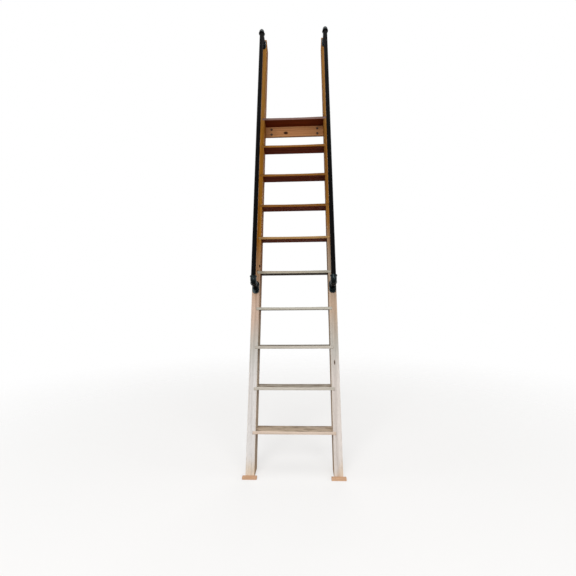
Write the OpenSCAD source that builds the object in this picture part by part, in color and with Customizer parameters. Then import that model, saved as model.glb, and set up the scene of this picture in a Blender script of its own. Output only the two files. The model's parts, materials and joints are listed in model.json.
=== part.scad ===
// Loft ladder: two raked stringers, treads let into them, and a pipe handrail on each side.
// The origin is the middle of the hanger board's back face, which is fixed to the edge of the loft.
// X runs across the ladder, Y runs level into the loft, and Z is up. Left and right are a climber's.

/* [Flight] */
// Height from the lower floor to the loft floor, which is level with the last tread
loft_height = 2640; // [2200:10:3000]
// Slope of the stringers from level, in degrees
slope = 72.5; // [66:0.5:76]
// Number of treads, the last one level with the loft floor
tread_count = 10; // [7:1:12]
// Clear width between the stringers
clear_width = 500; // [400:5:700]
// Height of the stringers' top ends above the loft floor
top_rise = 845; // [500:5:1100]

/* [Stringers] */
// Thickness of a stringer, across the ladder
stringer_thick = 56; // [45:1:80]
// Depth of a stringer, square to its length
stringer_depth = 130; // [110:1:180]
// Bevel on the stringers' long edges
stringer_bevel = 3; // [1:0.5:6]

/* [Treads] */
// Thickness of a tread
tread_thick = 20; // [18:1:36]
// How far the treads lean back from level, in degrees
tread_lean = 4.5; // [0:0.5:6]
// How far each tread end is let into its stringer
housing_depth = 20; // [8:1:25]
// Bevel on the treads' long edges
tread_bevel = 2; // [1:0.5:4]

/* [Hanger board] */
// Height of the board that is screwed to the edge of the loft
hanger_height = 84; // [70:1:140]
// Thickness of the hanger board
hanger_thick = 25; // [18:1:40]
// Diameter of the hanger board's screw holes
hanger_hole_dia = 7; // [5:0.5:12]
// Distance across the ladder between the screw holes
hanger_hole_span_x = 400; // [200:5:440]
// Height between the two rows of screw holes
hanger_hole_span_z = 44; // [30:1:50]

/* [Foot cleats] */
// Width of the cleat on the floor in front of each stringer
cleat_width = 92; // [70:1:130]
// Height of a cleat
cleat_height = 16; // [12:1:40]
// Depth of a cleat's top, front to back
cleat_depth = 25; // [15:1:60]
// Bevel on a cleat's upper front edge
cleat_bevel = 2; // [1:0.5:4]

/* [Handrails] */
// Outside diameter of the handrail pipe
rail_dia = 33.4; // [26:0.1:42]
// Wall of the pipe
rail_wall = 3.4; // [2.5:0.1:5]
// Distance from a stringer's front face to the middle of the pipe
rail_standoff = 140; // [100:1:160]
// Height of the lower flanges' middles above the lower floor
lower_flange_height = 1200; // [900:1:1400]
// Distance along the slope from a stringer's top end to the upper flange's middle
upper_flange_drop = 64; // [55:1:200]

/* [Pipe fittings] */
// Radius of the inside of an elbow's bend
elbow_throat = 2.7; // [1:0.1:12]
// Length of an elbow's straight mouths
elbow_mouth = 14; // [13:0.5:24]
// Thickness of the metal around an elbow's sockets
elbow_wall = 4.5; // [3:0.5:6]
// How far the bead at an elbow's mouth stands out
elbow_bead = 3.5; // [1:0.5:5]
// Length of the bead
elbow_bead_length = 8; // [5:0.5:12]
// Depth of the sockets that take the pipe
socket_depth = 13; // [10:0.5:13]
// Radial clearance of a pipe in its socket
socket_clearance = 0.1; // [0.05:0.05:0.3]
// How far a flange's plate shows on each side of its hub
flange_rim = 3.2; // [1:0.1:6]
// Thickness of a flange's plate
flange_thick = 8; // [5:0.5:12]
// Thickness of the hub's wall around the pipe
hub_wall = 5; // [4:0.5:7]
// Height of the hub above the plate
hub_height = 18; // [12:1:30]
// Diameter of a flange's screw holes
flange_hole_dia = 7; // [5:0.5:8]
// Distance from a flange's hub to the middle of each screw hole
flange_hole_gap = 15.2; // [12:0.1:24]
// Distance from the middle of a screw hole to the end of the plate
flange_hole_end = 12; // [9:0.5:20]
// Gap between a nipple's end and the stringer
nipple_gap = 2; // [0.5:0.5:4]

/* [Hidden] */
riser = loft_height / tread_count;
// Level distance through a stringer
stringer_run = stringer_depth / sin(slope);
stringer_length = (loft_height + top_rise) / sin(slope);
stringer_middle = (clear_width + stringer_thick) / 2;
outer_width = clear_width + 2 * stringer_thick;
// The last tread lies on the hanger board's top edge, which is bevelled to the treads' lean
loft_z = hanger_height / 2 + tread_thick / cos(tread_lean) + stringer_run * tan(tread_lean);
floor_z = loft_z - loft_height;
// The stringers' back edges meet the edge of the loft at the loft floor
foot_front_y = -stringer_run - loft_height / tan(slope);
// A tread runs from the stringers' front edges to where its lower back edge meets their back edges
tread_fall = tread_thick * (cos(tread_lean) / tan(slope) - sin(tread_lean));
tread_depth = (stringer_run - tread_fall) / (cos(tread_lean) + sin(tread_lean) / tan(slope));
tread_length = clear_width + 2 * housing_depth;
lower_flange_at = lower_flange_height / sin(slope);
upper_flange_at = stringer_length - upper_flange_drop;
socket_dia = rail_dia + 2 * socket_clearance;
elbow_dia = socket_dia + 2 * elbow_wall;
elbow_bend = elbow_dia / 2 + elbow_throat;
elbow_reach = elbow_bend + elbow_mouth;
elbow_bore = rail_dia - 2 * rail_wall;
bead_dia = elbow_dia + 2 * elbow_bead;
hub_dia = socket_dia + 2 * hub_wall;
flange_width = hub_dia + 2 * flange_rim;
flange_hole_at = hub_dia / 2 + flange_hole_gap;
flange_end_at = flange_hole_at + flange_hole_end;
cut = 1;
past_end = 400;
pale_wood = [0.76, 0.64, 0.51];
tread_wood = [0.60, 0.46, 0.35];
hanger_wood = [0.52, 0.35, 0.24];
foot_wood = [0.82, 0.64, 0.54];
pipe_black = [0.09, 0.10, 0.11];
iron_black = [0.12, 0.15, 0.16];
$fn = 64;

SIDES = [-1, 1];
ENDS = [-1, 1];
function side_name(side) = side < 0 ? "left" : "right";
function end_name(end) = end < 0 ? "lower" : "upper";
function tread_name(n) = str("tread_", n < 10 ? "0" : "", n);
function fitting_name(side, end, piece) = str(side_name(side), "_", end_name(end), "_", piece);

function tread_top(n) = floor_z + n * riser;
// Level position of the stringers' front edges at a height z
function front_y(z) = foot_front_y + (z - floor_z) / tan(slope);
function fitting_at(end) = end < 0 ? lower_flange_at : upper_flange_at;

// Stands its children on the slope: Z up along the stringers, Y square into them, front face at Y = 0
module on_slope() {
    translate([0, foot_front_y, floor_z]) rotate([slope - 90, 0, 0]) children();
}

// A rectangle centred on X with its lowest Y at 0 and bevelled corners
module bevelled(width, depth, bevel) {
    half = width / 2;
    polygon([
        [bevel - half, 0], [half - bevel, 0], [half, bevel], [half, depth - bevel],
        [half - bevel, depth], [bevel - half, depth], [-half, depth - bevel], [-half, bevel]
    ]);
}

// Lays its children out as a tread: Y back along its top and Z square to it, its upper front edge at Y = Z = 0
module on_tread(n) {
    translate([0, front_y(tread_top(n)), tread_top(n)]) rotate([-tread_lean, 0, 0]) children();
}

// The housings for the ends of the treads in one stringer's inner face, open at the front and the back
module housings(side) {
    start = side > 0 ? clear_width / 2 - cut : -clear_width / 2 - housing_depth;
    for (n = [1 : tread_count])
        on_tread(n) translate([start, -stringer_run, -tread_thick])
            cube([housing_depth + cut, 3 * stringer_run, tread_thick]);
}

// The hanger board's outline, with Y along X and Z along Y. deeper takes it further back than the board.
module hanger_outline(deeper) {
    top = hanger_height / 2;
    polygon([
        [-hanger_thick, -top], [deeper, -top],
        [deeper, top - deeper * tan(tread_lean)], [-hanger_thick, top + hanger_thick * tan(tread_lean)]
    ]);
}

module hanger_bar(length, deeper) {
    translate([-length / 2, 0, 0]) rotate([90, 0, 90]) linear_extrude(length) hanger_outline(deeper);
}

module stringer(side) {
    color(pale_wood) difference() {
        on_slope() translate([side * stringer_middle, 0, 0]) linear_extrude(stringer_length)
            bevelled(stringer_thick, stringer_depth, stringer_bevel);
        // Level cut at the foot
        translate([-outer_width, foot_front_y - past_end, floor_z - past_end])
            cube([2 * outer_width, 2 * past_end, past_end]);
        housings(side);
        // Notch for the hanger board in the back edge
        hanger_bar(2 * outer_width, stringer_run);
    }
}

module tread(n) {
    color(tread_wood) on_tread(n) translate([-tread_length / 2, tread_depth / 2, -tread_thick])
        rotate([90, 0, 90]) linear_extrude(tread_length)
            bevelled(tread_depth, tread_thick, tread_bevel);
}

module hanger_board() {
    color(hanger_wood) difference() {
        hanger_bar(outer_width, 0);
        for (x = SIDES, z = ENDS)
            translate([x * hanger_hole_span_x / 2, -hanger_thick - cut, z * hanger_hole_span_z / 2])
                rotate([-90, 0, 0]) cylinder(d = hanger_hole_dia, h = hanger_thick + 2 * cut);
    }
}

// A cleat stands on the floor and is bevelled at the back to lie against the stringer's front face
module foot_cleat(side) {
    top_back = cleat_height / tan(slope);
    front = top_back - cleat_depth;
    color(foot_wood) translate([side * stringer_middle - cleat_width / 2, foot_front_y, floor_z])
        rotate([90, 0, 90]) linear_extrude(cleat_width) polygon([
            [front, 0], [0, 0], [top_back, cleat_height],
            [front + cleat_bevel, cleat_height], [front, cleat_height - cleat_bevel]
        ]);
}

module pipe(length) {
    difference() {
        cylinder(d = rail_dia, h = length);
        translate([0, 0, -cut]) cylinder(d = rail_dia - 2 * rail_wall, h = length + 2 * cut);
    }
}

// The rail's pipe ends at the shoulders of its elbows' sockets
module handrail(side) {
    end_gap = elbow_reach - socket_depth;
    length = upper_flange_at - lower_flange_at - 2 * end_gap;
    start = lower_flange_at + end_gap;
    color(pipe_black) on_slope() translate([side * stringer_middle, -rail_standoff, start]) pipe(length);
}

// A flange lies on the stringer's front face, with its hub towards the climber
module flange(side, end) {
    end_radius = flange_width / 2;
    end_middle = flange_end_at - end_radius;
    color(iron_black) on_slope() translate([side * stringer_middle, 0, fitting_at(end)]) rotate([90, 0, 0])
        difference() {
            union() {
                linear_extrude(flange_thick) union() {
                    square([flange_width, 2 * end_middle], center = true);
                    for (y = ENDS) translate([0, y * end_middle]) circle(r = end_radius);
                }
                cylinder(d = hub_dia, h = flange_thick + hub_height);
            }
            translate([0, 0, -cut]) cylinder(d = socket_dia, h = flange_thick + hub_height + 2 * cut);
            for (y = ENDS) translate([0, y * flange_hole_at, -cut])
                cylinder(d = flange_hole_dia, h = flange_thick + 2 * cut);
        }
}

// A nipple runs from the flange's hub to the shoulder of the elbow's socket
module nipple(side, end) {
    length = rail_standoff - elbow_reach + socket_depth - nipple_gap;
    color(pipe_black) on_slope() translate([side * stringer_middle, -nipple_gap, fitting_at(end)])
        rotate([90, 0, 0]) pipe(length);
}

// One arm of an elbow along Z, from the end of the bend to its mouth
module elbow_arm() {
    translate([0, 0, elbow_bend]) cylinder(d = elbow_dia, h = elbow_reach - elbow_bend);
    translate([0, 0, elbow_reach - elbow_bead_length]) cylinder(d = bead_dia, h = elbow_bead_length);
}

module elbow_socket() {
    translate([0, 0, elbow_reach - socket_depth]) cylinder(d = socket_dia, h = socket_depth + cut);
}

// A quarter bend from the end of the arm along Z to the end of the arm along Y
module quarter_bend(dia) {
    translate([0, elbow_bend, elbow_bend]) rotate([-90, 0, 0]) rotate([0, 90, 0])
        rotate_extrude(angle = 90) translate([elbow_bend, 0]) circle(d = dia);
}

// An elbow with one arm towards the stringer and the other along the rail
module elbow(side, end) {
    color(iron_black) on_slope() translate([side * stringer_middle, -rail_standoff, fitting_at(end)])
        mirror([0, 0, end < 0 ? 0 : 1]) difference() {
            union() {
                quarter_bend(elbow_dia);
                elbow_arm();
                rotate([-90, 0, 0]) elbow_arm();
            }
            quarter_bend(elbow_bore);
            elbow_socket();
            rotate([-90, 0, 0]) elbow_socket();
        }
}

for (side = SIDES) stringer(side);
for (n = [1 : tread_count]) tread(n);
hanger_board();
for (side = SIDES) foot_cleat(side);
for (side = SIDES) handrail(side);
for (side = SIDES, end = ENDS)
    flange(side, end);
for (side = SIDES, end = ENDS)
    nipple(side, end);
for (side = SIDES, end = ENDS)
    elbow(side, end);
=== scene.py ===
# The looks of a steep loft ladder: worn hardwood boards, black iron pipe handrails and their screws.
import json
import math
from itertools import product

import bmesh
import bpy
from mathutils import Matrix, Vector, noise


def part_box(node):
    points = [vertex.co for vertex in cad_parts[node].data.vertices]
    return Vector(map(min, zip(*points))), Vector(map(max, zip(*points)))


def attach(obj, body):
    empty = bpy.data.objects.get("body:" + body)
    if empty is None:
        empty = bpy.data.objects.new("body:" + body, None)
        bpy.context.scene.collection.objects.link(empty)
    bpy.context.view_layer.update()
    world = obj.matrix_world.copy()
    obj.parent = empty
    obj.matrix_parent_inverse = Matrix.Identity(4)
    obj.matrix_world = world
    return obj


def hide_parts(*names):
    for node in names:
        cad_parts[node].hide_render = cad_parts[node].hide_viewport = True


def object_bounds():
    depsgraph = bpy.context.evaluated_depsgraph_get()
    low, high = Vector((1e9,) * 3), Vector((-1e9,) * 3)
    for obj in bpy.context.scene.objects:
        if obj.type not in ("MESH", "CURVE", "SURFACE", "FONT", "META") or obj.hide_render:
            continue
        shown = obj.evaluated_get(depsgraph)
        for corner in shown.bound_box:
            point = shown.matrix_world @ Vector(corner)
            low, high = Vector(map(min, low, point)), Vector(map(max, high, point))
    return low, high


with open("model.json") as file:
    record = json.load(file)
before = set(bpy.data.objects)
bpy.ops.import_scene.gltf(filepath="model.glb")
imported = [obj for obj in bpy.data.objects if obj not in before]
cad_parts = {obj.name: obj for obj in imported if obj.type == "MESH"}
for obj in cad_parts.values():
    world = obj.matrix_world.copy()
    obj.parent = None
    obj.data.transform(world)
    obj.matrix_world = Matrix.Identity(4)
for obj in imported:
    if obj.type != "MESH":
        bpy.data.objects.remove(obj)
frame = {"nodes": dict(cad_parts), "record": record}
CAD_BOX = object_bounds()
NODES = frame["nodes"]
SIDES = {"left": -1, "right": 1}
ENDS = ("lower", "upper")
TREADS = sorted(name for name in NODES if name.startswith("tread_"))


# Directions and sizes, in metres, measured on the frame

def middle(node):
    low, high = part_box(node)
    return (low + high) / 2


def reach(node, direction):
    """Lowest and highest distance of a CAD node along a direction, from the origin."""
    distances = [direction.dot(corner.co) for corner in NODES[node].data.vertices]
    return min(distances), max(distances)


def half_size(node, direction):
    low, high = reach(node, direction)
    return (high - low) / 2


def top_normal(node):
    """The way that a board's broad upper face looks."""
    broadest = max(NODES[node].data.polygons, key=lambda face: face.area)
    return broadest.normal * math.copysign(1, broadest.normal.z)


ACROSS = Vector((1, 0, 0))
LEVEL = Vector((0, 1, 0))
UP = Vector((0, 0, 1))
# Up the flight along the stringers, and square into their front faces
ALONG = (middle("left_upper_flange") - middle("left_lower_flange")).normalized()
INTO = ALONG.cross(ACROSS)
OUT = -INTO
# Square to a tread's top, and back along it: the treads lean back a little
TREAD_UP = top_normal("tread_01")
TREAD_BACK = TREAD_UP.cross(ACROSS)

BOARD_AXES = (LEVEL, UP, ACROSS)
TREAD_AXES = (TREAD_BACK, TREAD_UP, ACROSS)
STRINGER_AXES = (ACROSS, INTO, ALONG)

FLOOR_Z = CAD_BOX[0].z
STRINGER_FRONT = reach("left_stringer", INTO)[0]
STRINGER_MIDDLE = middle("right_stringer").x
STRINGER_INSIDE, STRINGER_OUTSIDE = (corner.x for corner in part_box("right_stringer"))
RAIL_AT = sum(reach("left_handrail", INTO)) / 2
RAIL_RADIUS = reach("left_handrail", INTO)[1] - RAIL_AT
FITTING_AT = {end: sum(reach(f"left_{end}_flange", ALONG)) / 2 for end in ENDS}
ELBOW_REACH = reach("left_lower_elbow", INTO)[1] - RAIL_AT
BEAD_RADIUS = RAIL_AT - reach("left_lower_elbow", INTO)[0]
FLANGE_HALF_WIDTH = STRINGER_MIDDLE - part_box("right_lower_flange")[0].x
FLANGE_HALF_LENGTH = FITTING_AT["lower"] - reach("left_lower_flange", ALONG)[0]
FLANGE_HEIGHT = STRINGER_FRONT - reach("left_lower_flange", INTO)[0]

# Pipe and fittings
PIPE_BORE = RAIL_RADIUS - 0.0034
PIPE_CHAMFER = 0.0008
BORE_CHAMFER = 0.0005
SOCKET_RADIUS = RAIL_RADIUS + 0.0001
SOCKET_DEPTH = 0.013
ELBOW_RADIUS = 0.0213
ELBOW_BEND = 0.024
ELBOW_MOUTH = ELBOW_REACH - ELBOW_BEND
BEAD_LENGTH = 0.008
CASTING_SEAM = 0.0005
HUB_RADIUS = 0.0218
PLATE_THICK = 0.008
PLATE_ROUND = 0.0022
FLANGE_SCREW_AT = 0.037
FLANGE_HOLE_RADIUS = 0.0035
THREAD_PITCH = 0.0022
THREAD_DEPTH = 0.0011
THREAD_ROOT = RAIL_RADIUS - THREAD_DEPTH
THREAD_SHOWS = 0.008
THREAD_HIDDEN = 0.002
THREAD_RUNOUT = 0.001

# Timber
JOINT_GAP = 0.0002
STRINGER_EASE = 0.003
STRINGER_WEAR = 0.0012
TREAD_EASE = 0.002
HANGER_EASE = 0.0015
CLEAT_EASE = 0.001
CLEAT_WEAR = 0.0035
END_EASE = 0.0015
SHARPEST_EASE = 0.0004
WALKED_HALF_WIDTH = 0.17
TREAD_DISH = 0.0014
NOSING_WEAR = 0.0035
NOSING_BAND = 0.004
UNEVENNESS = 0.00012
STRINGER_DENTS = 0.0022
TREAD_DENTS = 0.0014
HANGER_DENTS = 0.001
CLEAT_DENTS = 0.0012
# Numbers of the boards, which make the grain and the dents of each its own
STRINGER_NUMBERS = {"left": 0.31, "right": 0.74}
CLEAT_NUMBERS = {"left": 0.18, "right": 0.66}
TREAD_NUMBER_STEP = 0.137
HANGER_NUMBER = 0.52
HANGER_DENT_NUMBER = 0.2
# Knots on the stringers: the side, the height above the floor, the place across and the size on three axes
STRINGER_KNOTS = (
    ("left", 1.358, 0.026, (0.007, 0.012, 0.010)),
    ("left", 1.322, 0.008, (0.003, 0.01, 0.004)),
    ("right", 0.684, -0.003, (0.0035, 0.01, 0.014)),
)
# The knot on the hanger board: the board's number, then the place and the size on the board's own axes
HANGER_KNOT = (HANGER_NUMBER, (-0.0125, -0.012, -0.075), (0.02, 0.011, 0.017))
COUNTERBORE_RADIUS = 0.0055
COUNTERBORE_DEPTH = 0.0022
TREAD_SCREW_APART = 0.07
HANGER_SCREWS = next(mount for mount in frame["record"]["mounts"] if mount["name"] == "loft_screws")["dims"]

# Steps round an arris, a pipe, a flange, a peg and the quarter turn of an elbow
ARC_STEPS = 4
PIPE_STEPS = 48
FLANGE_STEPS = 96
PEG_STEPS = 24
BEND_STEPS = 12
# Angles in degrees above which an edge is drawn crisp
BOARD_CRISP = 40
PIPE_CRISP = 50
SCREW_CRISP = 35
# How far a cutter starts outside an uneven surface, reaches past a piece, or runs on where nothing is near
CUT_PAST = 0.01
CUT_OVER = 0.1
CUT_FAR = 1

# The camera, fitted to the photograph: lens and sensor in millimetres, place, and two turns in degrees. It
# looks level, and its picture is moved up by a share of its width.
LENS_MM = 23.25
SENSOR_MM = 36
CAMERA_AT = (0.0848, -3.2865, -1.3893)
CAMERA_LEAN = 0.6
CAMERA_TURN = 2.725
CAMERA_SHIFT = 2 / 576


# Nodes of materials and of shapes

def colour(red, green, blue):
    """A colour of a screen, 0 to 255, as Blender's linear colour."""
    def linear(part):
        share = part / 255
        return share / 12.92 if share <= 0.04045 else ((share + 0.055) / 1.055) ** 2.4
    return (linear(red), linear(green), linear(blue), 1.0)


class Tree:
    """A node tree that is built up step by step. What adds a node returns one of its outputs."""

    def __init__(self, tree):
        self.tree = tree

    def feed(self, node, sockets):
        """Gives a node's inputs, by name or number, a value, another node's output, or a list of outputs."""
        for key, value in sockets.items():
            outputs = value if isinstance(value, list) else [value]
            if not isinstance(outputs[0], bpy.types.NodeSocket):
                node.inputs[key].default_value = value
                continue
            for output in outputs:
                self.tree.links.new(output, node.inputs[key])

    def add(self, kind, sockets, output=0, **settings):
        made = self.tree.nodes.new(kind)
        for name, value in settings.items():
            setattr(made, name, value)
        self.feed(made, sockets)
        return made.outputs[output]

    def work(self, operation, *values):
        return self.add("ShaderNodeMath", dict(enumerate(values)), operation=operation)


class Finish(Tree):
    """A material."""

    def __init__(self, name):
        self.material = bpy.data.materials.new(name)
        self.material.use_nodes = True
        super().__init__(self.material.node_tree)
        self.shader = self.tree.nodes["Principled BSDF"]

    def point(self):
        """The place of a point in its object."""
        return self.add("ShaderNodeTexCoord", {}, 3)

    def scaled(self, vector, size):
        return self.add("ShaderNodeVectorMath", {0: vector, 1: size}, operation="MULTIPLY")

    def moved(self, vector, step):
        return self.add("ShaderNodeVectorMath", {0: vector, 1: step}, operation="ADD")

    def length(self, vector):
        return self.add("ShaderNodeVectorMath", {0: vector}, 1, operation="LENGTH")

    def parts(self, vector):
        return self.add("ShaderNodeSeparateXYZ", {0: vector}).node.outputs[:3]

    def cloud(self, vector, scale, detail=2.0, output=0):
        """Noise that changes about as many times to the metre, on each axis, as scale says."""
        sockets = {"Vector": self.scaled(vector, scale), "Scale": 1.0, "Detail": detail}
        return self.add("ShaderNodeTexNoise", sockets, output)

    def rise(self, value, low, high):
        """A smooth rise from 0 at low to 1 at high, or a fall where low is the higher one."""
        sockets = {"Value": value, "From Min": low, "From Max": high}
        return self.add("ShaderNodeMapRange", sockets, interpolation_type="SMOOTHSTEP")

    def mix(self, share, first, second, blend="MIX"):
        sockets = {0: share, 6: first, 7: second}
        return self.add("ShaderNodeMix", sockets, 2, data_type="RGBA", blend_type=blend)

    def lay(self, base, over, where, share, blend="MIX"):
        """Lays a colour over the base, by a share of where."""
        return self.mix(self.work("MULTIPLY", where, share), base, over, blend)

    def surface(self, base, rough, height, relief):
        """Joins the colour, the roughness and a relief in metres to the shader."""
        normal = self.add("ShaderNodeBump", {"Height": height, "Distance": relief})
        self.feed(self.shader, {"Base Color": base, "Roughness": rough, "Normal": normal})
        return self.material


# Wood finishes

# How often each pattern changes to the metre: across, through and along the grain
SWAY_SCALE = (5, 5, 0.9)
FIBRE_SCALE = (520, 520, 9)
STREAK_SCALE = (75, 75, 1.3)
PORE_SCALE = (1300, 1300, 38)
DRIFT_SCALE = (4, 4, 1.1)
RAGGED_SCALE = (22, 22, 2.2)
SCUFF_SCALE = (26, 60, 9)
SCRUB_SCALE = (34, 80, 7)
# How far the rings sway, how ragged a change of colour with height is, and how far apart in the patterns two
# boards lie whose numbers differ by 1
RING_SWAY = (0.05, 0.05, 0.0)
RAGGED_BY = 0.3
BOARDS_APART = (17.0, 5.0, 9.0)
WOOD_GLOSS = 0.06
PORE_SHADE = (0.25, 0.2, 0.16, 1)
# Where a knot's edge and its darker heart fade, as shares of its size
KNOT_EDGE = (1.75, 1.25)
KNOT_HEART = (1.25, 0.8)
KNOT_BLACK = (0.01, 0.006, 0.004, 1)


class WoodFinish(Finish):
    """A finish on boards. The attribute "grain" gives the place from the board's middle, across, through and
    along the grain, and "board" the board's number. rings and streaks say how much those darken it."""

    def __init__(self, name, ring_gap, pith, rings, streaks):
        super().__init__(name)
        self.feed(self.shader, {"Specular IOR Level": WOOD_GLOSS})
        self.place = self.add("ShaderNodeAttribute", {}, 1, attribute_name="grain")
        self.board = self.add("ShaderNodeAttribute", {}, 2, attribute_name="board")
        self.across, self.through = self.parts(self.place)[:2]
        self.height = self.parts(self.point())[2]
        apart = self.add("ShaderNodeVectorMath", {0: BOARDS_APART, "Scale": self.board}, operation="SCALE")
        self.own = self.moved(self.place, apart)
        sway = self.moved(self.cloud(self.own, SWAY_SCALE, output=1), (-0.5, -0.5, -0.5))
        rings_at = self.moved(self.moved(self.place, pith), self.scaled(sway, RING_SWAY))
        # At a scale of 1 the wave's rings lie a twentieth of tau apart
        wave = {"Vector": rings_at, "Scale": math.tau / 20 / ring_gap, "Distortion": 0.0}
        kind = {"wave_type": "RINGS", "rings_direction": "Z", "wave_profile": "SAW"}
        self.late_wood = self.rise(self.add("ShaderNodeTexWave", wave, 1, **kind), 0.35, 1.0)
        self.fibres = self.cloud(self.own, FIBRE_SCALE, 3.0)
        self.streaks = self.rise(self.cloud(self.own, STREAK_SCALE, 3.0), 0.3, 0.7)
        self.pores = self.rise(self.cloud(self.own, PORE_SCALE, 1.0), 0.6, 0.7)
        self.drift = self.cloud(self.own, DRIFT_SCALE)
        ragged = self.work("SUBTRACT", self.cloud(self.own, RAGGED_SCALE), 0.5)
        self.ragged_height = self.work("MULTIPLY_ADD", ragged, RAGGED_BY, self.height)
        dark = self.work("MULTIPLY", self.late_wood, rings)
        dark = self.work("MULTIPLY_ADD", self.streaks, streaks, dark)
        dark = self.work("MULTIPLY_ADD", self.fibres, 0.25, dark)
        self.tone = self.add("ShaderNodeClamp", {0: self.work("SUBTRACT", dark, 0.05)})

    def grained(self, light, dark):
        """The colour of the wood between its light and its dark grain, both as on a screen."""
        return self.mix(self.tone, colour(*light), colour(*dark))

    def by_height(self, lowest, *stages):
        """A colour that changes up the flight. Each stage gives two heights and the colour above them."""
        base = lowest
        for heights, shade in stages:
            base = self.mix(self.rise(self.ragged_height, *heights), base, shade)
        return base

    def from_arris(self, half_across, half_through):
        """Distance of a point of a long face from the nearest arris."""
        side = self.work("SUBTRACT", half_across, self.work("ABSOLUTE", self.across))
        face = self.work("SUBTRACT", half_through, self.work("ABSOLUTE", self.through))
        return self.work("MAXIMUM", side, face)

    def knot(self, base, board, at, size, dark):
        """Lays a dark knot, drawn out along the grain, into the colour at a place on one board."""
        off = self.moved(self.place, tuple(-part for part in at))
        off = self.scaled(off, tuple(1 / part for part in size))
        ragged = self.work("MULTIPLY_ADD", self.fibres, 0.8, self.length(off))
        on_board = self.work("COMPARE", self.board, board, 0.01)
        base = self.lay(base, dark, self.rise(ragged, *KNOT_EDGE), on_board)
        return self.lay(base, self.mix(0.6, dark, KNOT_BLACK), self.rise(ragged, *KNOT_HEART), on_board)

    def close(self, base, shine, dull, relief):
        """Pores, fibres and rings finish the colour, the gloss and the relief."""
        base = self.lay(base, PORE_SHADE, self.pores, 0.4, "MULTIPLY")
        rough = self.work("MULTIPLY_ADD", self.streaks, dull - shine, shine)
        deep = self.work("MULTIPLY_ADD", self.pores, -0.8, self.fibres)
        deep = self.work("MULTIPLY_ADD", self.late_wood, -0.3, deep)
        return self.surface(base, rough, deep, relief)


# Heights in the frame between which the pale wood greys, tans, dulls, turns amber, and lightens at the top.
# This
# change up the flight is painted light: cool and pale below where daylight falls, warm amber above, lighter
# at the top
STRINGER_GREYS = (-2.05, -1.70)
STRINGER_TANS = (-1.82, -1.50)
STRINGER_DULLS = (-1.50, -1.22)
STRINGER_AMBERS = (-1.66, -1.20)
STRINGER_LIT_TOP = (-0.12, 0.16)
# How much higher the amber starts on a board whose number is higher by 1
AMBER_LAG = 0.55
TREAD_GREYS = (-2.28, -2.08)
TREAD_DULLS = (-1.78, -1.30)
TOP_DULLS = (-2.00, -1.80)
TREAD_TANS = (-1.32, -1.04)
TREAD_AMBERS = (-0.94, -0.74)
# Heights above which the front of the top tread turns pinkish grey: painted window light
WINDOW_LIT_HEIGHTS = (-0.12, 0.02)
MOPPED_BELOW = FLOOR_Z + 0.12
# Depths below a surface or an arris between which its colour starts or ends
ARRIS_RUBBED = (0.006, 0.001)
SIDE_SHADE_DEPTHS = (0.001, 0.005)
UNDER_ENDS = (0.0015, 0.0003)
TOP_ENDS = (0.004, 0.0015)


def stringer_finish():
    """Pale below and amber above, with rubbed arrises, painted shade on the sides and a mopped foot."""
    wood = WoodFinish("stringer_timber", 0.0065, (0.09, 0.05, 0), 0.4, 0.55)
    half_across, half_through, half_length = (half_size("left_stringer", axis) for axis in STRINGER_AXES)

    def of_board(first, second):
        """A light and a dark grain, mixed from the two pairs by a board's number: painted light, lighter on
        the left.
        """
        pairs = zip(first, second)
        light, dark = (wood.mix(wood.board, colour(*one), colour(*other)) for one, other in pairs)
        return wood.mix(wood.tone, light, dark)

    # Painted light from the left: each first pair is lighter, and the left board takes more of it
    pale = of_board(((239, 241, 242), (199, 197, 195)), ((228, 218, 210), (188, 175, 165)))
    grey = of_board(((218, 218, 212), (170, 166, 158)), ((192, 189, 179), (145, 141, 133)))
    tan = of_board(((230, 204, 188), (180, 154, 138)), ((198, 175, 149), (150, 127, 103)))
    dull = of_board(((214, 182, 156), (164, 134, 110)), ((156, 143, 124), (112, 101, 86)))
    amber = of_board(((188, 123, 20), (114, 67, 5)), ((146, 100, 48), (86, 55, 18)))
    lit_top = of_board(((200, 142, 60), (128, 84, 28)), ((156, 110, 60), (96, 64, 26)))
    amber_between = [wood.work("MULTIPLY_ADD", wood.board, AMBER_LAG, height) for height in STRINGER_AMBERS]
    # Painted light: cool and pale below where daylight falls, warm amber above, lighter again at the top
    base = wood.by_height(
        pale, (STRINGER_GREYS, grey), (STRINGER_TANS, tan), (STRINGER_DULLS, dull), (amber_between, amber),
        (STRINGER_LIT_TOP, lit_top),
    )
    base = wood.lay(base, colour(205, 190, 178), wood.drift, 0.25, "MULTIPLY")
    worn = wood.rise(wood.from_arris(half_across, half_through), *ARRIS_RUBBED)
    worn = wood.work("MULTIPLY", worn, wood.rise(wood.drift, 0.35, 0.6))
    rubbed = wood.by_height(
        colour(234, 226, 216),
        (STRINGER_GREYS, colour(212, 204, 193)), (STRINGER_TANS, colour(214, 192, 174)),
        (amber_between, colour(186, 134, 56)),
    )
    base = wood.lay(base, rubbed, worn, 0.5)
    # Painted shade: the sides and the back turn browner and darker than the front
    side_shade = wood.rise(wood.through, *(depth - half_through for depth in SIDE_SHADE_DEPTHS))
    base = wood.mix(side_shade, base, colour(242, 224, 202), "MULTIPLY")
    mopped = wood.rise(wood.ragged_height, MOPPED_BELOW, FLOOR_Z)
    base = wood.lay(base, colour(248, 232, 210), mopped, 0.9, "MULTIPLY")
    for side, height, across, size in STRINGER_KNOTS:
        at = (across, -half_through, height / ALONG.z - half_length)
        base = wood.knot(base, STRINGER_NUMBERS[side], at, size, colour(78, 48, 28))
    return wood.close(base, 0.68, 0.84, 0.00025)


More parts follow.
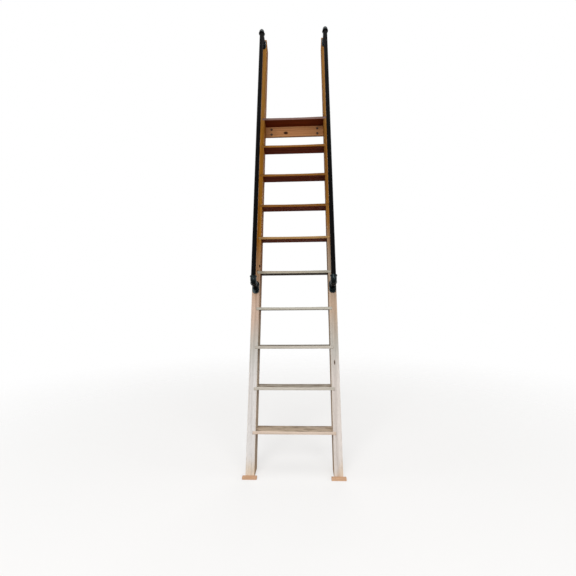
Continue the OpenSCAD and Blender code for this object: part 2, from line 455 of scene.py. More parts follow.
def tread_finish():
    """Its own colours on the front, the top and the underside, with scuffs where feet go."""
    wood = WoodFinish("tread_timber", 0.005, (-0.05, -0.09, 0), 0.4, 0.5)
    half_across, half_through = (half_size("tread_01", axis) for axis in (TREAD_BACK, TREAD_UP))
    grained = wood.grained
    # Painted light: the fronts and tops pale below where daylight falls and turn warm amber above
    front = wood.by_height(
        grained((230, 212, 196), (196, 176, 158)),
        (TREAD_GREYS, grained((210, 204, 193), (168, 160, 148))),
        (TREAD_DULLS, grained((180, 177, 163), (143, 137, 124))),
        (TREAD_TANS, grained((188, 152, 100), (143, 109, 68))),
        (TREAD_AMBERS, grained((152, 102, 46), (100, 64, 26))),
    )
    top = wood.by_height(
        grained((218, 198, 174), (170, 148, 125)),
        (TREAD_GREYS, grained((183, 172, 156), (137, 124, 108))),
        (TOP_DULLS, grained((142, 134, 120), (101, 91, 78))),
        (TREAD_TANS, grained((166, 136, 104), (118, 92, 66))),
        (TREAD_AMBERS, grained((150, 106, 60), (100, 64, 32))),
    )
    # The dark undersides are partly the wood's own dark finish and partly painted shade
    under = wood.by_height(
        grained((150, 126, 102), (104, 82, 64)),
        (TREAD_GREYS, grained((98, 76, 54), (58, 42, 28))),
        (TREAD_DULLS, grained((54, 38, 20), (27, 17, 8))),
        (TREAD_TANS, grained((128, 54, 22), (74, 26, 6))),
    )
    in_front = wood.rise(wood.across, 0.01, 0)
    # Painted window light on the front of the top tread
    painted_window_light = grained((136, 108, 100), (99, 74, 67))
    front = wood.lay(front, painted_window_light, wood.rise(wood.height, *WINDOW_LIT_HEIGHTS), in_front)
    scuffs = wood.rise(wood.cloud(wood.own, SCUFF_SCALE, 4.0), 0.48, 0.62)
    top = wood.lay(top, colour(108, 88, 70), scuffs, 0.6)
    scrubbed = wood.rise(wood.cloud(wood.own, SCRUB_SCALE, 3.0), 0.56, 0.66)
    top = wood.lay(top, front, scrubbed, 0.5)
    top = wood.mix(wood.rise(wood.across, NOSING_BAND - half_across, -half_across), top, front)
    below = wood.rise(wood.through, *(depth - half_through for depth in UNDER_ENDS))
    above = wood.rise(wood.through, *(half_through - depth for depth in TOP_ENDS))
    base = wood.mix(above, wood.mix(below, front, under), top)
    return wood.close(base, 0.7, 0.86, 0.0002)


def plain_timber_finish(name, light, dark, shine, dull, knot=None):
    """The same colour all over. A knot gives the board's number, its place and its size."""
    wood = WoodFinish(name, 0.0055, (0.03, 0.07, 0), 0.45, 0.5)
    base = wood.lay(wood.grained(light, dark), colour(196, 176, 160), wood.drift, 0.3, "MULTIPLY")
    if knot:
        base = wood.knot(base, *knot, colour(70, 40, 20))
    return wood.close(base, shine, dull, 0.00025)


# Metal finishes

def metal_finish(name, base, worn, shine, grain, relief, gloss, reflection_tint=(255, 255, 255)):
    """A coated metal with faint rubbed patches and a fine grain. Its roughness drifts between the numbers of
    shine, and its reflections take the colour gleam."""
    finish = Finish(name)
    place = finish.point()
    drift = finish.cloud(place, (9, 9, 5), 4.0)
    rubbed = finish.rise(finish.cloud(place, (38, 38, 14), 4.0), 0.55, 0.75)
    dimples = finish.cloud(place, (grain, grain, grain))
    tint = finish.lay(colour(*base), colour(*worn), rubbed, 0.5)
    between = {"Value": drift, "From Min": 0.3, "From Max": 0.7, "To Min": shine[0], "To Max": shine[1]}
    rough = finish.add("ShaderNodeMapRange", between)
    finish.feed(finish.shader, {"Specular IOR Level": gloss, "Specular Tint": colour(*reflection_tint)})
    return finish.surface(tint, rough, dimples, relief)


STRINGER_TIMBER = stringer_finish()
TREAD_TIMBER = tread_finish()
HANGER_TIMBER = plain_timber_finish("hanger_timber", (204, 146, 98), (134, 90, 56), 0.66, 0.82, HANGER_KNOT)
FOOT_TIMBER = plain_timber_finish("foot_timber", (228, 188, 154), (188, 147, 116), 0.65, 0.8)
BLACK_PIPE = metal_finish(
    "black_pipe", (5, 4, 4), (15, 13, 12), shine=(0.34, 0.46), grain=420, relief=0.00006, gloss=0.026,
)
# Painted reflection: the near-black casting gets a teal base and teal-tinted reflections, as of blue window
# light
CAST_IRON = metal_finish(
    "cast_fitting", (4, 9, 11), (14, 25, 28), shine=(0.13, 0.22), grain=900, relief=0.00012, gloss=0.22,
    reflection_tint=(204, 230, 234),
)
SCREW_STEEL = metal_finish(
    "zinc_screw", (74, 54, 38), (104, 82, 62), shine=(0.4, 0.55), grain=1200, relief=0.00004, gloss=0.12,
)


# Meshes

def link(name, data):
    made = bpy.data.objects.new(name, data)
    bpy.context.scene.collection.objects.link(made)
    return made


def mesh_object(name, points, faces):
    """An object at the origin with faces that point outwards."""
    mesh = bpy.data.meshes.new(name)
    mesh.from_pydata(points, [], faces)
    shape = bmesh.new()
    shape.from_mesh(mesh)
    bmesh.ops.recalc_face_normals(shape, faces=shape.faces)
    shape.to_mesh(mesh)
    shape.free()
    return link(name, mesh)


def band(first, count, rows, closed):
    """Faces between rows of count points, from a first point on. Closed joins the last row to the first;
    otherwise both ends are capped."""
    faces = []
    for row in range(rows if closed else rows - 1):
        here = first + row * count
        there = first + (row + 1) % rows * count
        for step in range(count):
            after = (step + 1) % count
            faces.append((here + step, here + after, there + after, there + step))
    if not closed:
        faces += [tuple(range(start, start + count)) for start in (first, first + (rows - 1) * count)]
    return faces


def skin(name, loops, closed):
    """One mesh of faces between loops of points."""
    points = [point for loop in loops for point in loop]
    return mesh_object(name, points, band(0, len(loops[0]), len(loops), closed))


def block(name, axes, corners):
    """One mesh of boxes along three axes, each given by its lowest and highest corner on them."""
    points = []
    faces = []
    sides = ((0, 1, 3, 2), (4, 6, 7, 5), (0, 4, 5, 1), (2, 3, 7, 6), (0, 2, 6, 4), (1, 5, 7, 3))
    for low, high in corners:
        first = len(points)
        points += [axes[0] * a + axes[1] * b + axes[2] * c for a, b, c in product(*zip(low, high))]
        faces += [tuple(first + corner for corner in side) for side in sides]
    return mesh_object(name, points, faces)


def even_angles(steps):
    return [math.tau * step / steps for step in range(steps)]


def circle(centre, direction, radius, steps):
    """Points round a centre, square to a direction."""
    side = direction.orthogonal().normalized()
    other = direction.cross(side)
    return [
        centre + side * (radius * math.cos(turn)) + other * (radius * math.sin(turn))
        for turn in even_angles(steps)
    ]


def pegs(name, places, direction, radius, length):
    """One mesh of round pegs that stand on places and run along a direction."""
    points = []
    faces = []
    for place in places:
        faces += band(len(points), PEG_STEPS, 2, False)
        for far in (0, length):
            points += circle(place + direction * far, direction, radius, PEG_STEPS)
    return mesh_object(name, points, faces)


def settle(piece):
    """Turns a piece with its modifiers into a plain mesh."""
    evaluated = piece.evaluated_get(bpy.context.evaluated_depsgraph_get())
    piece.data = bpy.data.meshes.new_from_object(evaluated)
    piece.modifiers.clear()


def cut(piece, cutter):
    """Takes the cutter's shape out of the piece."""
    taken = piece.modifiers.new("cut", "BOOLEAN")
    taken.operation = "DIFFERENCE"
    taken.solver = "EXACT"
    taken.object = cutter
    settle(piece)
    bpy.data.objects.remove(cutter)


def smooth(piece, crisp_above):
    """Smooth shading with crisp edges above an angle in degrees, and flat faces that stay flat."""
    piece.data.shade_smooth()
    piece.data.set_sharp_from_angle(angle=math.radians(crisp_above))
    even = piece.modifiers.new("even", "WEIGHTED_NORMAL")
    even.keep_sharp = True
    settle(piece)


def give(piece, material, slot, *nodes):
    """Gives a finished piece its material and its body, and hides the CAD nodes it stands for. The slot is
    not used.
    """
    piece.data.materials.clear()
    piece.data.materials.append(material)
    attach(piece, "root")
    if nodes:
        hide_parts(*nodes)


# Timber

def rounded_ring(half_a, half_b, radii, flats):
    """Points round a rectangle with rounded corners, each with the way out of the surface there."""
    arcs = []
    for number, (side_a, side_b) in enumerate(((1, -1), (1, 1), (-1, 1), (-1, -1))):
        radius = radii[number]
        middle_a, middle_b = side_a * (half_a - radius), side_b * (half_b - radius)
        arc = []
        for step in range(ARC_STEPS + 1):
            angle = math.pi / 2 * (number - 1 + step / ARC_STEPS)
            a, b = math.cos(angle), math.sin(angle)
            arc.append((middle_a + radius * a, middle_b + radius * b, a, b))
        arcs.append(arc)
    ring = []
    for number, arc in enumerate(arcs):
        span = list(zip(arc[-1], arcs[(number + 1) % 4][0]))
        count = flats[number % 2]
        shares = [step / count for step in range(1, count)]
        ring += arc + [tuple(start + (stop - start) * share for start, stop in span) for share in shares]
    return ring


def timber(node, axes, flats, spacing, eases, wear):
    """A board or beam in a CAD node's place, its length along the last axis. eases gives the radii of its
    four long arrises at a distance from its middle, and wear says how far a surface point is worn in."""
    centre = sum((axis * sum(reach(node, axis)) / 2 for axis in axes), Vector())
    half_a, half_b, half_w = (half_size(node, axis) for axis in axes)
    stations = []
    for turn in (0, math.pi / 6, math.pi / 3):
        stations.append((-half_w + END_EASE * (1 - math.cos(turn)), END_EASE * (1 - math.sin(turn))))
    straight = 2 * (half_w - END_EASE)
    rows = max(2, round(straight / spacing))
    stations += [(-half_w + END_EASE + straight * row / rows, 0) for row in range(rows + 1)]
    stations += [(-place, inset) for place, inset in reversed(stations[:3])]
    loops = []
    for place, inset in stations:
        radii = [max(SHARPEST_EASE, radius - inset) for radius in eases(place)]
        loop = []
        for a, b, way_a, way_b in rounded_ring(half_a - inset, half_b - inset, radii, flats):
            worn = wear(a, b, way_a, way_b, place)
            at = axes[0] * (a - way_a * worn) + axes[1] * (b - way_b * worn) + axes[2] * place
            loop.append(centre + at)
        loops.append(loop)
    return skin(node + "_timber", loops, False)


def dress(piece, node, axes, number, material, slot):
    """Smooths a board, stores where each point lies in it and its number, and gives it its finish."""
    smooth(piece, BOARD_CRISP)
    middles = [(axis, sum(reach(node, axis)) / 2) for axis in axes]
    corners = piece.data.vertices
    placed = [axis.dot(corner.co) - halfway for corner in corners for axis, halfway in middles]
    piece.data.attributes.new("grain", "FLOAT_VECTOR", "POINT").data.foreach_set("vector", placed)
    numbers = [number] * len(corners)
    piece.data.attributes.new("board", "FLOAT", "POINT").data.foreach_set("value", numbers)
    give(piece, material, slot, node)


def chance(*place):
    """A smooth random value between -1 and 1, which is the same for the same place on each run."""
    return noise.noise(Vector(place))


def waviness(a, b, along, number):
    """The faint unevenness that planing and handling leave."""
    return UNEVENNESS * chance(a * 20, b * 20 + number * 7, along * 9)


def chips(way_a, way_b, along, number, depth):
    """Small dents along the arrises, up to a depth."""
    on_arris = 2 * abs(way_a * way_b)
    threshold = 0.32
    bite = max(0.0, chance(number * 3.7, way_a * 1.3 + way_b * 2.1, along * 34) - threshold)
    return depth * on_arris * bite / (1 - threshold)


def handled(number, depth):
    """How far a board that is only handled is worn in."""
    def wear(a, b, way_a, way_b, along):
        return waviness(a, b, along, number) + chips(way_a, way_b, along, number, depth)
    return wear


def above_board():
    """The space above the hanger board, whose top lies under the last tread and leans with it."""
    under = reach(TREADS[-1], TREAD_UP)[0]
    far = 3 * CUT_FAR
    return block("above_board", TREAD_AXES, [((-far, under, -far), (far, under + far, far))])


def tread_screws(side, sunk):
    """Where the screws through one stringer into the treads stand, sunk below its outer face."""
    out = ACROSS * (SIDES[side] * (STRINGER_OUTSIDE - sunk))
    return [
        out + middle(tread) + TREAD_BACK * (shift * TREAD_SCREW_APART / 2)
        for tread in TREADS
        for shift in (-1, 1)
    ]


def stringer(side):
    """A stringer with a level foot, housings for treads, a notch for the hanger board and counterbores."""
    node = side + "_stringer"
    number = STRINGER_NUMBERS[side]

    def eases(along):
        front = STRINGER_EASE + STRINGER_WEAR * (1 + chance(number * 9, 0, along * 3.1))
        return front, STRINGER_EASE, STRINGER_EASE, front

    piece = timber(node, STRINGER_AXES, (13, 5), 0.012, eases, handled(number, STRINGER_DENTS))
    low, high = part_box(node)
    foot = ((low.y - CUT_FAR, FLOOR_Z - CUT_FAR, -CUT_FAR), (high.y + CUT_FAR, FLOOR_Z, CUT_FAR))
    cut(piece, block("foot_cut", BOARD_AXES, [foot]))
    ends = (STRINGER_INSIDE - CUT_PAST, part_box("tread_01")[1].x + JOINT_GAP)
    inner = sorted(SIDES[side] * end for end in ends)
    housings = []
    for tread in TREADS:
        front, back = reach(tread, TREAD_BACK)
        under, top = reach(tread, TREAD_UP)
        housings.append((
            (front - CUT_OVER, under - JOINT_GAP, inner[0]), (back + CUT_OVER, top + JOINT_GAP, inner[1]),
        ))
    cut(piece, block("housings", TREAD_AXES, housings))
    # The notch for the hanger board runs out at the back, and its top leans with the last tread
    board_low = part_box("hanger_board")[0]
    notch_low = (board_low.y - JOINT_GAP, board_low.z - JOINT_GAP, -CUT_FAR)
    notch = block("notch", BOARD_AXES, [(notch_low, (CUT_FAR, CUT_FAR, CUT_FAR))])
    cut(notch, above_board())
    cut(piece, notch)
    starts = tread_screws(side, -CUT_PAST)
    inward = ACROSS * -SIDES[side]
    cut(piece, pegs("counterbores", starts, inward, COUNTERBORE_RADIUS, COUNTERBORE_DEPTH + CUT_PAST))
    dress(piece, node, STRINGER_AXES, number, STRINGER_TIMBER, "stringer_wood")


def tread(node):
    """A tread that feet have dished and rounded at the nosing, most in the middle of its length."""
    number = int(node[-2:]) * TREAD_NUMBER_STEP % 1
    half_depth = half_size(node, TREAD_BACK)

    def walked(along):
        """How much feet wear the tread at a distance from its middle."""
        return math.exp(-((along / WALKED_HALF_WIDTH) ** 4))

    def eases(along):
        nosing = NOSING_WEAR * walked(along) * (0.7 + 0.3 * chance(number * 11, 3.1, along * 13))
        return TREAD_EASE, TREAD_EASE, TREAD_EASE + nosing, TREAD_EASE

    def wear(a, b, way_a, way_b, along):
        forward = 0.5 - 0.5 * a / half_depth
        dish = TREAD_DISH * walked(along) * max(0.0, way_b) * (0.35 + 0.65 * forward)
        nicks = chips(way_a, way_b, along, number, TREAD_DENTS) * walked(along * 0.8)
        return dish + nicks + waviness(a, b, along, number)

    piece = timber(node, TREAD_AXES, (3, 14), 0.009, eases, wear)
    dress(piece, node, TREAD_AXES, number, TREAD_TIMBER, "tread_wood")


def hanger_screws():
    """Where the screws stand on the hanger board's front face."""
    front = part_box("hanger_board")[0].y
    half_x = HANGER_SCREWS["spacing_x_mm"] / 2000
    half_z = HANGER_SCREWS["spacing_y_mm"] / 2000
    return [Vector((x * half_x, front, z * half_z)) for x in (-1, 1) for z in (-1, 1)]


def hanger_board():
    """The board behind the stringers, with a leaning top and four screw holes."""
    node = "hanger_board"
    wear = handled(HANGER_DENT_NUMBER, HANGER_DENTS)
    piece = timber(node, BOARD_AXES, (9, 3), 0.015, lambda along: (HANGER_EASE,) * 4, wear)
    cut(piece, above_board())
    starts = [place - LEVEL * CUT_PAST for place in hanger_screws()]
    cut(piece, pegs("screw_holes", starts, LEVEL, HANGER_SCREWS["hole_r_mm"] / 1000, CUT_OVER))
    dress(piece, node, BOARD_AXES, HANGER_NUMBER, HANGER_TIMBER, "hanger_wood")


def foot_cleat(side):
    """A low cleat with a worn upper front edge. Its back is bevelled to lie on the stringer's front."""
    node = side + "_foot_cleat"
    number = CLEAT_NUMBERS[side]

    def eases(along):
        worn = CLEAT_WEAR * (1 + 0.4 * chance(number * 5, 1.7, along * 40))
        return CLEAT_EASE, CLEAT_EASE, worn, CLEAT_EASE

    piece = timber(node, BOARD_AXES, (9, 7), 0.004, eases, handled(number, CLEAT_DENTS))
    start, stop = reach(node, ALONG)
    bed_low = (-CUT_FAR, STRINGER_FRONT, start - CUT_OVER)
    bed_high = (CUT_FAR, STRINGER_FRONT + CUT_OVER, stop + CUT_OVER)
    cut(piece, block("stringer_bed", STRINGER_AXES, [(bed_low, bed_high)]))
    dress(piece, node, BOARD_AXES, number, FOOT_TIMBER, "foot_wood")


# Pipework

def on_stringer(side):
    """The middle of a stringer's width."""
    return ACROSS * (SIDES[side] * STRINGER_MIDDLE)


def threaded_pipe(name, start, direction, length, node):
    """A hollow pipe in a node's place, whose ends are cut down to the root of a thread."""
    runout = SOCKET_DEPTH + THREAD_SHOWS
    outside = [
        (0, THREAD_ROOT - PIPE_CHAMFER), (PIPE_CHAMFER, THREAD_ROOT), (runout - THREAD_RUNOUT, THREAD_ROOT),
        (runout + THREAD_RUNOUT, RAIL_RADIUS),
    ]
    outside += [(length - place, radius) for place, radius in reversed(outside)]
    profile = outside + [
        (length, PIPE_BORE + BORE_CHAMFER), (length - BORE_CHAMFER, PIPE_BORE), (BORE_CHAMFER, PIPE_BORE),
        (0, PIPE_BORE + BORE_CHAMFER),
    ]
    loops = [circle(start + direction * far, direction, radius, PIPE_STEPS) for far, radius in profile]
    piece = skin(name, loops, True)
    smooth(piece, PIPE_CRISP)
    give(piece, BLACK_PIPE, "rail_pipe", node)


def elbow(side, end):
    """A malleable iron elbow: two beaded mouths, a bend, sockets and a casting seam in the bend's plane."""
    rail_way = ALONG if end == "lower" else -ALONG
    corner = on_stringer(side) + INTO * RAIL_AT + ALONG * FITTING_AT[end]
    bend_middle = corner + (rail_way + INTO) * ELBOW_BEND
    # Distances in from a mouth, and the radius there
    lip = [
        (0.0, BEAD_RADIUS - 0.0009), (0.0003, BEAD_RADIUS - 0.0003), (0.001, BEAD_RADIUS),
        (BEAD_LENGTH - 0.0018, BEAD_RADIUS), (BEAD_LENGTH - 0.0006, BEAD_RADIUS - 0.0006),
        (BEAD_LENGTH, BEAD_RADIUS - 0.0018), (BEAD_LENGTH + 0.001, ELBOW_RADIUS + 0.0006),
        (BEAD_LENGTH + 0.003, ELBOW_RADIUS), (ELBOW_MOUTH, ELBOW_RADIUS),
    ]
    throat = [
        (0.0, SOCKET_RADIUS + 0.0012), (0.0012, SOCKET_RADIUS), (SOCKET_DEPTH, SOCKET_RADIUS),
        (SOCKET_DEPTH + 0.0001, PIPE_BORE), (ELBOW_MOUTH, PIPE_BORE),
    ]
    seam_angles = [math.radians(turn + near) for turn in (90, 270) for near in (-4, -2, -1, 1, 2, 4)]
    seam_width = 0.035
    angles = sorted(even_angles(PIPE_STEPS) + seam_angles)

    def ring(inward, turn, radius, seam):
        """A ring at a distance in from a mouth, or past it round the bend by an angle."""
        tangent_in = rail_way * -math.cos(turn) + INTO * math.sin(turn)
        away = rail_way * -math.sin(turn) - INTO * math.cos(turn)
        centre = bend_middle + away * ELBOW_BEND + tangent_in * inward
        loop = []
        for angle in angles:
            near = min(abs(angle - math.pi / 2), abs(angle - 3 * math.pi / 2))
            raised = radius + seam * math.exp(-((near / seam_width) ** 2))
            loop.append(centre + ACROSS * (raised * math.cos(angle)) + away * (raised * math.sin(angle)))
        return loop

    def passage(profile, seam):
        """Rings in from one mouth, round the bend and out of the other."""
        quarter = math.pi / 2
        bend_radius = profile[-1][1]
        rings = [ring(place - ELBOW_MOUTH, 0, radius, seam) for place, radius in profile]
        rings += [ring(0, quarter * step / BEND_STEPS, bend_radius, seam) for step in range(1, BEND_STEPS)]
        rings += [ring(ELBOW_MOUTH - place, quarter, radius, seam) for place, radius in reversed(profile)]
        return rings

    node = f"{side}_{end}_elbow"
    piece = skin(node + "_casting", passage(lip, CASTING_SEAM) + passage(throat, 0)[::-1], True)
    smooth(piece, PIPE_CRISP)
    give(piece, CAST_IRON, "iron_fitting", node)


def stadium(angle, inset):
    """Distance from the middle of a flange's oblong plate to its edge, moved in by inset."""
    half_width = FLANGE_HALF_WIDTH - inset
    end_at = FLANGE_HALF_LENGTH - FLANGE_HALF_WIDTH
    x, y = abs(math.cos(angle)), abs(math.sin(angle))
    if x * end_at >= y * half_width:
        return half_width / x
    return end_at * y + math.sqrt(max(0.0, half_width ** 2 - (end_at * x) ** 2))


def flange_screws(side, end):
    """Where the screws stand on a flange's plate."""
    base = on_stringer(side) + INTO * (STRINGER_FRONT - PLATE_THICK)
    return [base + ALONG * (FITTING_AT[end] + shift * FLANGE_SCREW_AT) for shift in (-1, 1)]


def flange(side, end):
    """A cast flange: a round-edged oblong plate that rises in a fillet to its threaded hub."""
    node = f"{side}_{end}_flange"
    base = on_stringer(side) + INTO * STRINGER_FRONT + ALONG * FITTING_AT[end]
    # Insets of the plate's edge and radii of the hub, each with the height there
    plate = [
        (0, 0), (0, PLATE_THICK - PLATE_ROUND), (PLATE_ROUND * 0.3, PLATE_THICK - PLATE_ROUND * 0.3),
        (PLATE_ROUND, PLATE_THICK),
    ]
    hub = [
        (HUB_RADIUS + 0.0026, PLATE_THICK), (HUB_RADIUS + 0.0012, PLATE_THICK + 0.0004),
        (HUB_RADIUS + 0.0004, PLATE_THICK + 0.0014), (HUB_RADIUS, PLATE_THICK + 0.003),
        (HUB_RADIUS - 0.0006, FLANGE_HEIGHT - 0.0062), (HUB_RADIUS, FLANGE_HEIGHT - 0.0052),
        (HUB_RADIUS, FLANGE_HEIGHT - 0.001), (HUB_RADIUS - 0.001, FLANGE_HEIGHT),
        (SOCKET_RADIUS + 0.001, FLANGE_HEIGHT), (SOCKET_RADIUS, FLANGE_HEIGHT - 0.001), (SOCKET_RADIUS, 0),
    ]

    turns = even_angles(FLANGE_STEPS)
    rings = [(height, [stadium(turn, inset) for turn in turns]) for inset, height in plate]
    rings += [(height, [radius] * FLANGE_STEPS) for radius, height in hub]
    ways = [ACROSS * math.cos(turn) + ALONG * math.sin(turn) for turn in turns]
    loops = [
        [base + OUT * height + way * radius for way, radius in zip(ways, radii)] for height, radii in rings
    ]
    piece = skin(node + "_casting", loops, True)
    starts = [place + INTO * CUT_OVER for place in flange_screws(side, end)]
    cut(piece, pegs("screw_holes", starts, OUT, FLANGE_HOLE_RADIUS, 2 * CUT_OVER))
    smooth(piece, BOARD_CRISP)
    give(piece, CAST_IRON, "iron_fitting", node)


def pipework(side):
    """One side's rail, nipples, elbows and flanges. Returns where threads show and the way they face."""
    rail = side + "_handrail"
    low, high = reach(rail, ALONG)
    rail_line = on_stringer(side) + INTO * RAIL_AT
    threaded_pipe(side + "_rail_pipe", rail_line + ALONG * low, ALONG, high - low, rail)
    threads = [(rail_line + ALONG * low, ALONG), (rail_line + ALONG * high, -ALONG)]
    for end in ENDS:
        node = f"{side}_{end}_nipple"
        near, far = reach(node, OUT)
        foot = on_stringer(side) + OUT * near + ALONG * FITTING_AT[end]
        threaded_pipe(node + "_pipe", foot, OUT, far - near, node)
        threads += [(foot, OUT), (foot + OUT * (far - near), INTO)]
        elbow(side, end)
        flange(side, end)
    return threads


# Screws and pipe threads, by Geometry Nodes

class Recipe(Tree):
    """A Geometry Nodes tree that sets one shape at every point of a mesh, facing the point's own way."""

    def __init__(self, name, sizes):
        super().__init__(bpy.data.node_groups.new(name, "GeometryNodeTree"))
        self.socket("Places", "Geometry")
        self.socket("Shapes", "Geometry", in_out="OUTPUT")
        for label, value in sizes.items():
            self.socket(label, "Float").default_value = value
        self.socket("Seed", "Int").default_value = 4
        self.socket("Finish", "Material")
        self.given = self.tree.nodes.new("NodeGroupInput")

    def socket(self, label, kind, in_out="INPUT"):
        return self.tree.interface.new_socket(label, in_out=in_out, socket_type="NodeSocket" + kind)

    def size(self, label, share=None):
        """A size that the tree is given, or a share of it."""
        given = self.given.outputs[label]
        return given if share is None else self.work("MULTIPLY", given, share)

    def raised(self, shape, height):
        lift = self.add("ShaderNodeCombineXYZ", {2: height})
        return self.add("GeometryNodeTransform", {"Geometry": shape, "Translation": lift})

    def drum(self, sides, radius, depth, start):
        """A prism or cylinder that stands on a height and rises by its depth."""
        shape = self.add("GeometryNodeMeshCylinder", {"Vertices": sides, "Radius": radius, "Depth": depth})
        return self.raised(shape, self.work("ADD", start, self.work("MULTIPLY", depth, 0.5)))

    def taper(self, top, bottom, depth, start):
        """A round taper that stands on a height."""
        sockets = {"Vertices": 32, "Radius Top": top, "Radius Bottom": bottom, "Depth": depth}
        return self.raised(self.add("GeometryNodeMeshCone", sockets), start)

    def close(self, shape):
        """Sets the shape at every point, with a turn of its own, and ends the tree."""
        facing = self.add("GeometryNodeInputNamedAttribute", {"Name": "facing"}, data_type="FLOAT_VECTOR")
        aligned = self.add("FunctionNodeAlignRotationToVector", {"Vector": facing}, axis="Z")
        between = {2: 0.0, 3: math.tau, "Seed": self.size("Seed")}
        turn = self.add("FunctionNodeRandomValue", between, 1, data_type="FLOAT")
        spin = self.add("FunctionNodeAxisAngleToRotation", {"Axis": (0, 0, 1), "Angle": turn})
        turned = {"Rotation": aligned, "Rotate By": spin}
        rotation = self.add("FunctionNodeRotateRotation", turned, rotation_space="LOCAL")
        places = {"Points": self.size("Places"), "Instance": shape, "Rotation": rotation}
        copies = self.add("GeometryNodeInstanceOnPoints", places)
        real = self.add("GeometryNodeRealizeInstances", {0: copies})
        finished = self.add("GeometryNodeSetMaterial", {"Geometry": real, "Material": self.size("Finish")})
        self.feed(self.tree.nodes.new("NodeGroupOutput"), {0: finished})
        return self.tree


def hex_screw_recipe():
    """A hexagon head with a chamfered top, on a washer, over a plain shank."""
    recipe = Recipe("hex_screw", {
        "Head Radius": 0.0058, "Head Height": 0.0045, "Washer Radius": 0.0078, "Washer Thickness": 0.0012,
        "Shank Radius": 0.003, "Shank Length": 0.02,
    })
    size = recipe.size
    washer = recipe.drum(32, size("Washer Radius"), size("Washer Thickness"), 0.0)
    head = recipe.drum(6, size("Head Radius"), size("Head Height"), size("Washer Thickness"))
    chamfer = recipe.taper(
        size("Head Radius", 0.8), size("Head Radius", 1.5), size("Head Height", 1.001),
        size("Washer Thickness"),
    )
    both = {"Mesh 2": [head, chamfer]}
    trimmed = recipe.add("GeometryNodeMeshBoolean", both, operation="INTERSECT", solver="EXACT")
    shank = recipe.drum(16, size("Shank Radius"), size("Shank Length"), size("Shank Length", -1.0))
    return recipe.close(recipe.add("GeometryNodeJoinGeometry", {0: [washer, trimmed, shank]}))


def cross_screw_recipe():
    """A low round head with a cross recess."""
    recipe = Recipe("cross_screw", {
        "Head Radius": 0.0042, "Head Height": 0.0018, "Slot Width": 0.0011, "Slot Depth": 0.0013,
    })
    size = recipe.size
    head = recipe.taper(
        size("Head Radius", 0.72), size("Head Radius"), size("Head Height"), size("Head Height", -0.05),
    )
    width = size("Slot Width")
    length = size("Head Radius", 1.2)
    bars = []
    for x, y in ((width, length), (length, width)):
        edges = recipe.add("ShaderNodeCombineXYZ", {0: x, 1: y, 2: size("Slot Depth")})
        bars.append(recipe.raised(recipe.add("GeometryNodeMeshCube", {"Size": edges}), size("Head Height")))
    recess = {"Mesh 1": head, "Mesh 2": bars}
    slotted = recipe.add("GeometryNodeMeshBoolean", recess, operation="DIFFERENCE", solver="EXACT")
    return recipe.close(slotted)


def thread_recipe():
    """A ridge that winds up a pipe from the mouth of its fitting to the end of the thread."""
    recipe = Recipe("pipe_thread", {
        "Root Radius": THREAD_ROOT, "Pitch": THREAD_PITCH, "Depth": THREAD_DEPTH,
        "Start": SOCKET_DEPTH - THREAD_HIDDEN, "Length": THREAD_SHOWS + THREAD_HIDDEN,
    })
    size = recipe.size
    winding = {
        "Resolution": 40, "Rotations": recipe.work("DIVIDE", size("Length"), size("Pitch")),
        "Start Radius": size("Root Radius"), "End Radius": size("Root Radius"), "Height": size("Length"),
    }
    spiral = recipe.add("GeometryNodeCurveSpiral", winding)
    upright = recipe.add("GeometryNodeSetCurveNormal", {"Curve": spiral}, mode="Z_UP")
    outline = recipe.add("GeometryNodeCurvePrimitiveCircle", {"Resolution": 4, "Radius": size("Depth")})
    swept = {"Curve": upright, "Profile Curve": outline, "Fill Caps": True}
    return recipe.close(recipe.raised(recipe.add("GeometryNodeCurveToMesh", swept), size("Start")))


def set_out(name, places, recipe, sizes, material, slot):
    """Makes one plain mesh of a recipe's shape at every place, given as a point and the way it faces."""
    mesh = bpy.data.meshes.new(name)
    mesh.from_pydata([point for point, _ in places], [], [])
    facing = mesh.attributes.new("facing", "FLOAT_VECTOR", "POINT")
    facing.data.foreach_set("vector", [part for _, way in places for part in way])
    piece = link(name, mesh)
    making = piece.modifiers.new("making", "NODES")
    making.node_group = recipe
    sockets = {item.name: item.identifier for item in recipe.interface.items_tree if item.in_out == "INPUT"}
    making[sockets["Finish"]] = material
    for label, value in sizes.items():
        making[sockets[label]] = value
    settle(piece)
    smooth(piece, SCREW_CRISP)
    give(piece, material, slot)


# The ladder

for side in SIDES:
    stringer(side)
    foot_cleat(side)
for name in TREADS:
    tread(name)
hanger_board()
threads = [place for side in SIDES for place in pipework(side)]
set_out("pipe_threads", threads, thread_recipe(), {}, BLACK_PIPE, "rail_pipe")
hex_screw = hex_screw_recipe()
rail_screws = [(place, OUT) for side in SIDES for end in ENDS for place in flange_screws(side, end)]
set_out("flange_screws", rail_screws, hex_screw, {}, CAST_IRON, "iron_fitting")
loft_screws = [(place, -LEVEL) for place in hanger_screws()]
loft_sizes = {"Head Radius": 0.0066, "Washer Radius": 0.0105, "Shank Length": 0.024}
set_out("hanger_screws", loft_screws, hex_screw, loft_sizes, SCREW_STEEL, "iron_fitting")
side_screws = [
    (place, ACROSS * SIDES[side]) for side in SIDES for place in tread_screws(side, COUNTERBORE_DEPTH)
]
set_out("tread_screws", side_screws, cross_screw_recipe(), {}, SCREW_STEEL, "iron_fitting")


# Floor, light and camera

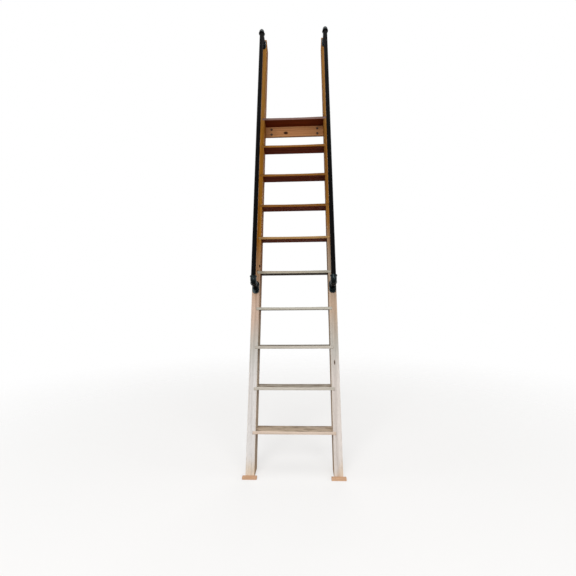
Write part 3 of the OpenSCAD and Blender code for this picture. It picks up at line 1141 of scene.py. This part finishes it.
def pale_floor():
    """A round pale floor that fades into white. It gives the ladder less light than it shows."""
    bpy.ops.mesh.primitive_circle_add(vertices=96, radius=9, fill_type="NGON", location=(0, -0.6, FLOOR_Z))
    floor = bpy.context.object
    floor.name = "floor"
    finish = Finish("pale_floor")
    seen = finish.add("ShaderNodeLightPath", {}, 0)
    tint = finish.mix(seen, colour(150, 140, 130), colour(244, 243, 241))
    finish.feed(finish.shader, {"Base Color": tint, "Roughness": 0.85})
    pale = finish.add("ShaderNodeEmission", {"Color": colour(252, 251, 250), "Strength": 1.0})
    lift = finish.work("MULTIPLY", seen, 0.65)
    lifted = finish.add("ShaderNodeMixShader", {0: lift, 1: finish.shader.outputs[0], 2: pale})
    lit_top = finish.rise(finish.length(finish.point()), 0.9, 4.6)
    clear = finish.add("ShaderNodeBsdfTransparent", {})
    blend = finish.add("ShaderNodeMixShader", {0: lit_top, 1: lifted, 2: clear})
    finish.feed(finish.tree.nodes["Material Output"], {"Surface": blend})
    floor.data.materials.append(finish.material)


def soft_world():
    """White where it is seen or mirrored, and a weaker grey light elsewhere."""
    world = bpy.data.worlds.new("studio")
    bpy.context.scene.world = world
    world.use_nodes = True
    studio = Tree(world.node_tree)
    light = studio.tree.nodes["Background"]
    studio.feed(light, {"Color": colour(240, 242, 246), "Strength": 0.24})
    backdrop = studio.add("ShaderNodeBackground", {"Color": (1, 1, 1, 1), "Strength": 1.0})
    path = studio.add("ShaderNodeLightPath", {}).node.outputs
    mirrored = studio.work("MAXIMUM", path["Is Glossy Ray"], path["Is Transmission Ray"])
    shown = studio.work("MAXIMUM", path["Is Camera Ray"], mirrored)
    both = studio.add("ShaderNodeMixShader", {0: shown, 1: light.outputs[0], 2: backdrop})
    studio.feed(studio.tree.nodes["World Output"], {"Surface": both})


def lamp(name, place, target, size, power):
    """A large soft area light that points at a target."""
    light = bpy.data.lights.new(name, "AREA")
    light.shape = "RECTANGLE"
    light.size, light.size_y = size
    light.energy = power
    holder = link(name, light)
    holder.location = place
    holder.rotation_euler = (Vector(target) - Vector(place)).to_track_quat("-Z", "Y").to_euler()


def camera():
    lens = bpy.data.cameras.new("camera")
    lens.lens = LENS_MM
    lens.sensor_width = SENSOR_MM
    lens.clip_start = 0.05
    lens.shift_y = CAMERA_SHIFT
    holder = link("camera", lens)
    holder.location = CAMERA_AT
    holder.rotation_euler = [math.radians(turn) for turn in (90, CAMERA_LEAN, CAMERA_TURN)]
    bpy.context.scene.camera = holder


pale_floor()
soft_world()
lamp("key", (-1.5, -5.6, 0.9), (0, -0.5, -0.7), (2.4, 3.0), 185)
lamp("fill", (1.9, -5.2, -0.9), (0, -0.5, -1.0), (2.0, 2.6), 80)
lamp("top", (0.3, -1.4, 4.2), (0, -0.5, -1.0), (3.0, 3.0), 60)
lamp("back", (0.5, 4.5, 1.2), (0, -0.5, -0.8), (3.0, 3.0), 90)
lamp("left", (-4.8, -0.8, 0.2), (0, -0.5, -0.9), (2.4, 3.0), 55)
lamp("right", (4.8, -0.8, 0.2), (0, -0.5, -0.9), (2.4, 3.0), 55)
camera()
bpy.context.scene.view_settings.view_transform = "Standard"
